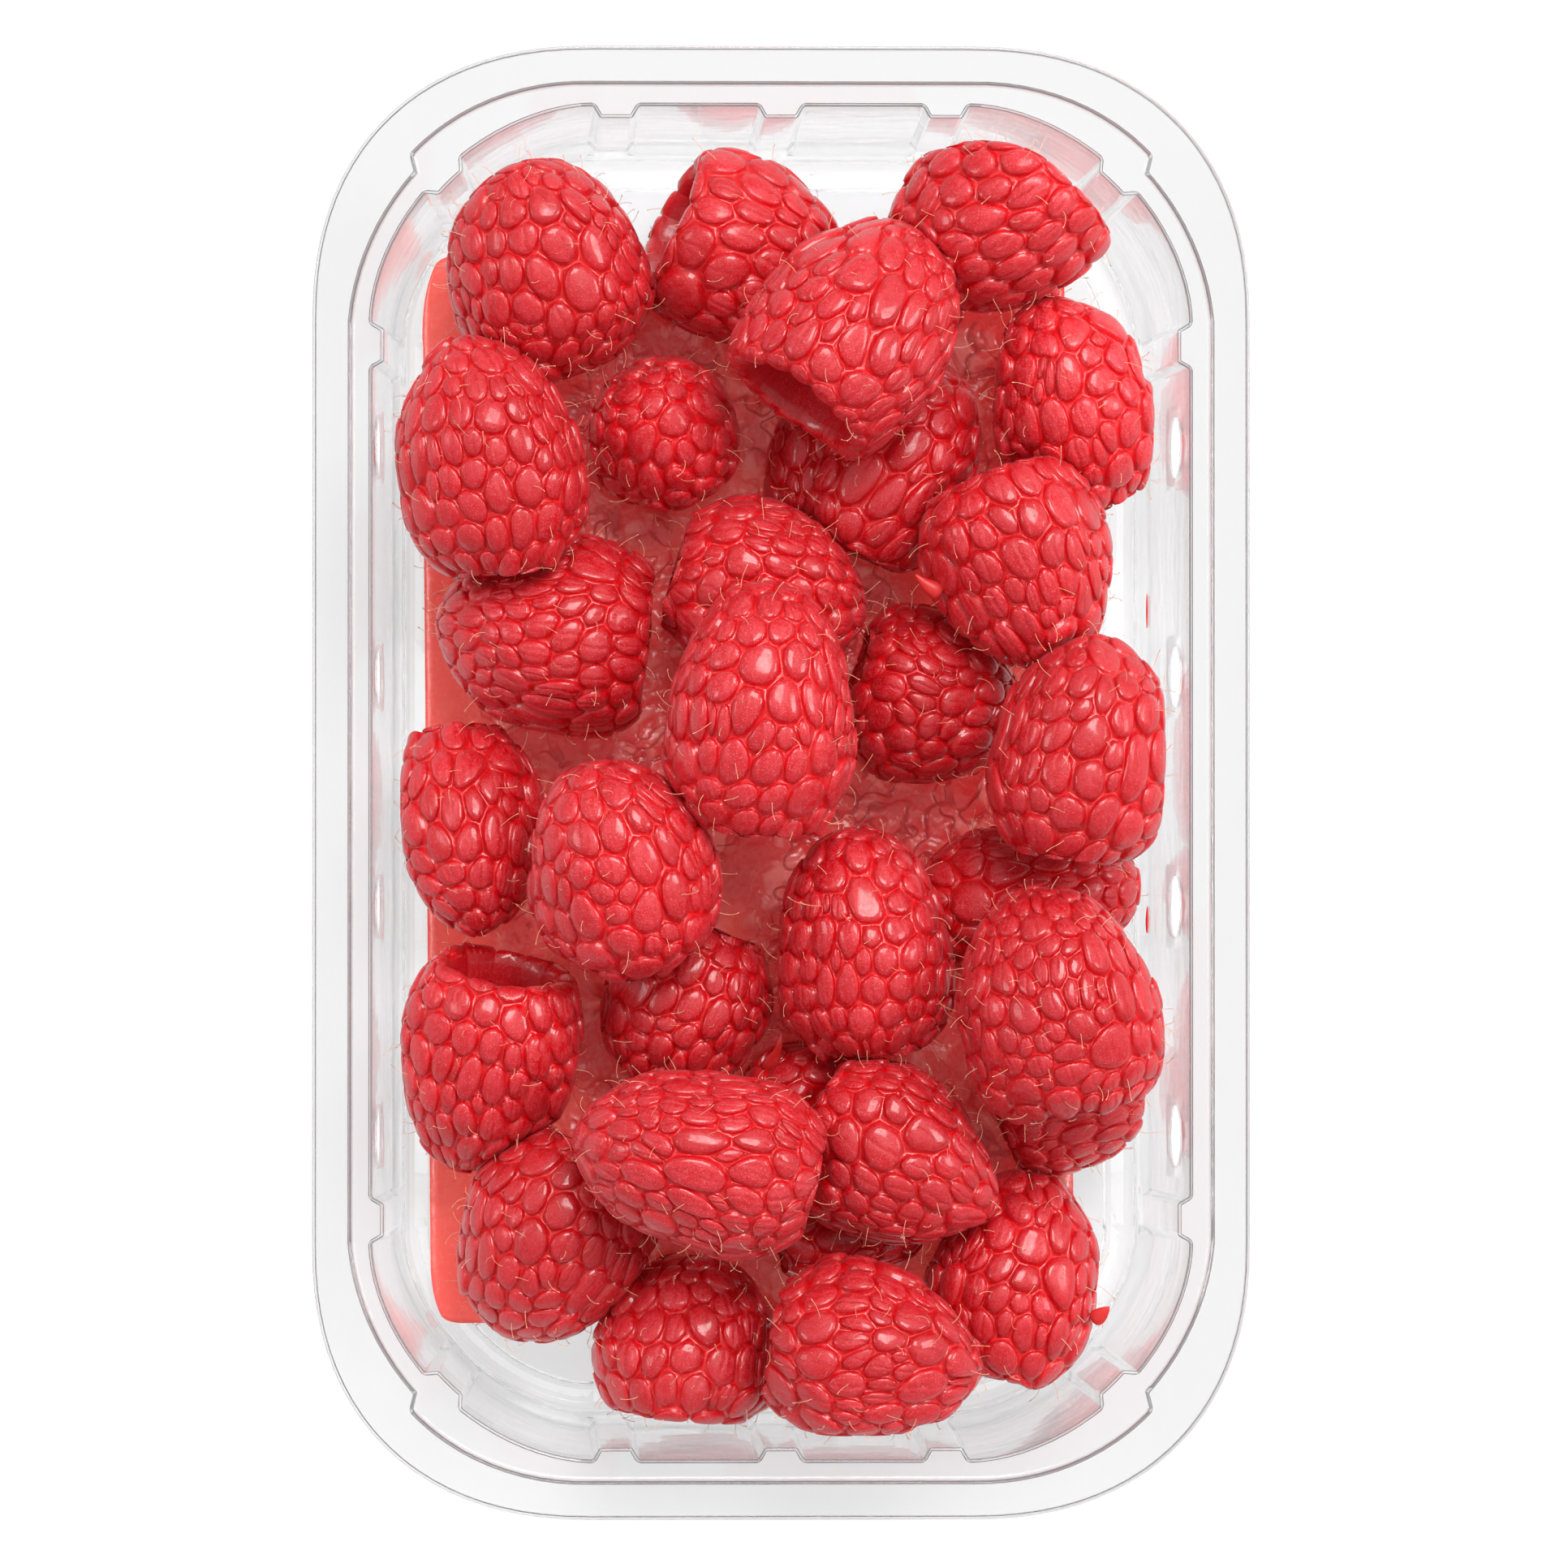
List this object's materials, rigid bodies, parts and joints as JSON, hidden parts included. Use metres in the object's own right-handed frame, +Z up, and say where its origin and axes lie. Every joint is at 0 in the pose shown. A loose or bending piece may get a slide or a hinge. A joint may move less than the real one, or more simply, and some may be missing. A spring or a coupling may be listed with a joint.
{
  "type": "raspberry punnet",
  "caption": "Clear rectangular fruit tray with a flat rim, ribbed walls, oval side vents and an absorbent pad, filled with a loose heap of ripe raspberries.",
  "frame": {"origin": "on the plane that the tray stands on, below the middle of its mouth", "axes": "+Y along the tray's long side, +X across it, +Z up out of its mouth"},
  "size_m": [0.1192, 0.1872, 0.054],
  "materials": {
    "tray": "clear, smooth, thermoformed",
    "pad": "wet absorbent pad, stained by juice",
    "raspberries": "soft, moist, slightly glossy"
  },
  "bodies": {
    "root": {"tray": "tray", "pad": "pad", "raspberries": "raspberries"}
  },
  "joints": []
}
